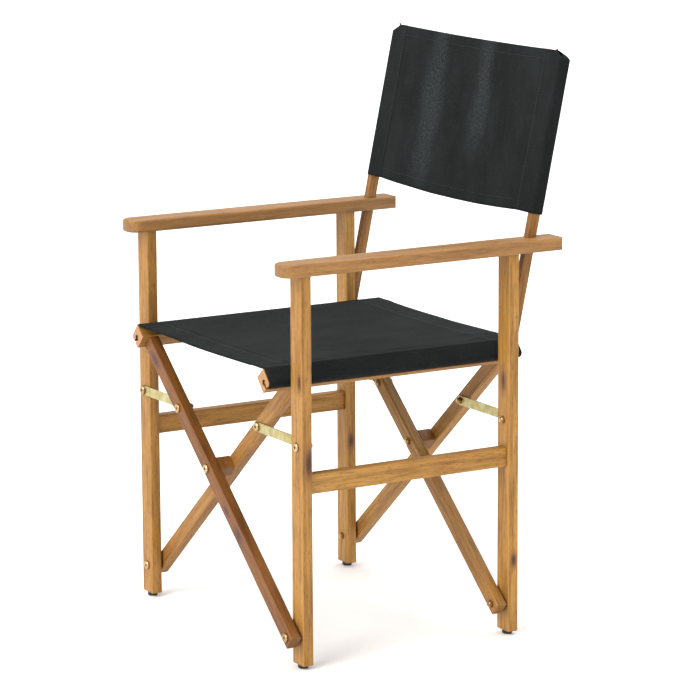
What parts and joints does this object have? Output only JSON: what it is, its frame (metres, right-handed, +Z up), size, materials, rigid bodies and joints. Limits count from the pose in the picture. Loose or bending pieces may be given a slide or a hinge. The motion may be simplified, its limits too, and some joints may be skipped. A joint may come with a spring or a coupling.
{
  "type": "folding director's chair",
  "caption": "Folding wooden armchair with black fabric seat and back slings; a front and a rear scissor of crossed braces with flat steel links let it fold sideways.",
  "frame": {"origin": "on the floor, under the centre of the open chair's bounding box", "axes": "+Z up, -Y the front of the chair, +X the sitter's left"},
  "size_m": [0.531, 0.5166, 0.898],
  "materials": {
    "timber": "oiled acacia, planed and sanded, long edges rounded",
    "dowels": "plain turned hardwood",
    "woven_sling": "black plain-weave polyester",
    "links": "yellow zinc plated steel strip",
    "fasteners": "zinc plated steel",
    "floor_glides": "moulded black plastic"
  },
  "bodies": {
    "right_frame": {"right_front_leg": "timber", "right_rear_leg": "timber", "right_stretcher": "timber", "right_armrest": "timber", "right_back_post": "timber", "right_glides": "floor_glides", "right_arm_dowels": "dowels", "right_stretcher_dowels": "dowels", "right_post_screws": "fasteners", "right_pivot_bolts": "fasteners", "right_pivot_nuts": "fasteners", "right_pivot_washers": "fasteners", "right_link_leg_bolts": "fasteners", "right_link_leg_nuts": "fasteners", "back_sling": "woven_sling"},
    "left_frame": {"left_front_leg": "timber", "left_rear_leg": "timber", "left_stretcher": "timber", "left_armrest": "timber", "left_back_post": "timber", "left_glides": "floor_glides", "left_arm_dowels": "dowels", "left_stretcher_dowels": "dowels", "left_post_screws": "fasteners", "left_pivot_bolts": "fasteners", "left_pivot_nuts": "fasteners", "left_pivot_washers": "fasteners", "left_link_leg_bolts": "fasteners", "left_link_leg_nuts": "fasteners"},
    "left_rail_braces": {"front_inner_brace": "timber", "rear_outer_brace": "timber", "left_seat_rail": "timber", "left_seat_dowel": "dowels", "left_rail_screws": "fasteners", "left_brace_link_bolts": "fasteners"},
    "right_rail_braces": {"front_outer_brace": "timber", "rear_inner_brace": "timber", "front_crossing_block": "timber", "rear_crossing_block": "timber", "crossing_bolts": "fasteners", "crossing_nuts": "fasteners", "right_seat_rail": "timber", "right_seat_dowel": "dowels", "right_rail_screws": "fasteners", "right_brace_link_bolts": "fasteners", "seat_sling": "woven_sling"},
    "right_front_link": {"right_front_link": "links", "right_front_link_nut": "fasteners"},
    "left_front_link": {"left_front_link": "links", "left_front_link_head": "fasteners"},
    "right_rear_link": {"right_rear_link": "links", "right_rear_link_head": "fasteners"},
    "left_rear_link": {"left_rear_link": "links", "left_rear_link_nut": "fasteners"}
  },
  "joints": [
    {"name": "fold", "type": "hinge", "parent": "right_frame", "child": "left_rail_braces", "pos_m": [-0.2435, 0, 0.051], "axis": [0, -1, 0], "range_deg": [0, 26.19], "deforming": ["seat_sling", "back_sling"]},
    {"name": "crossing_pivot", "type": "hinge", "parent": "left_rail_braces", "child": "right_rail_braces", "pos_m": [0, 0, 0.261], "axis": [0, 1, 0], "range_deg": [0, 58.5]},
    {"name": "left_frame_pivot", "type": "hinge", "parent": "right_rail_braces", "child": "left_frame", "pos_m": [0.2435, 0, 0.051], "axis": [0, -1, 0], "range_deg": [0, 26.24]},
    {"name": "right_front_link_pivot", "type": "hinge", "parent": "right_frame", "child": "right_front_link", "pos_m": [-0.2435, 0, 0.339], "axis": [0, -1, 0], "range_deg": [0, 53.41]},
    {"name": "right_rear_link_pivot", "type": "hinge", "parent": "right_frame", "child": "right_rear_link", "pos_m": [-0.2435, 0, 0.339], "axis": [0, -1, 0], "range_deg": [0, 53.41]},
    {"name": "left_front_link_pivot", "type": "hinge", "parent": "left_frame", "child": "left_front_link", "pos_m": [0.2435, 0, 0.339], "axis": [0, 1, 0], "range_deg": [0, 53.41]},
    {"name": "left_rear_link_pivot", "type": "hinge", "parent": "left_frame", "child": "left_rear_link", "pos_m": [0.2435, 0, 0.339], "axis": [0, 1, 0], "range_deg": [0, 53.41]}
  ],
  "couplings": [
    {"joint": "crossing_pivot", "follows": "fold", "ratio": 2.2316},
    {"joint": "left_frame_pivot", "follows": "fold", "ratio": 1},
    {"joint": "right_front_link_pivot", "follows": "fold", "ratio": 2.0372},
    {"joint": "right_rear_link_pivot", "follows": "fold", "ratio": 2.0372},
    {"joint": "left_front_link_pivot", "follows": "fold", "ratio": 2.0372},
    {"joint": "left_rear_link_pivot", "follows": "fold", "ratio": 2.0372}
  ]
}
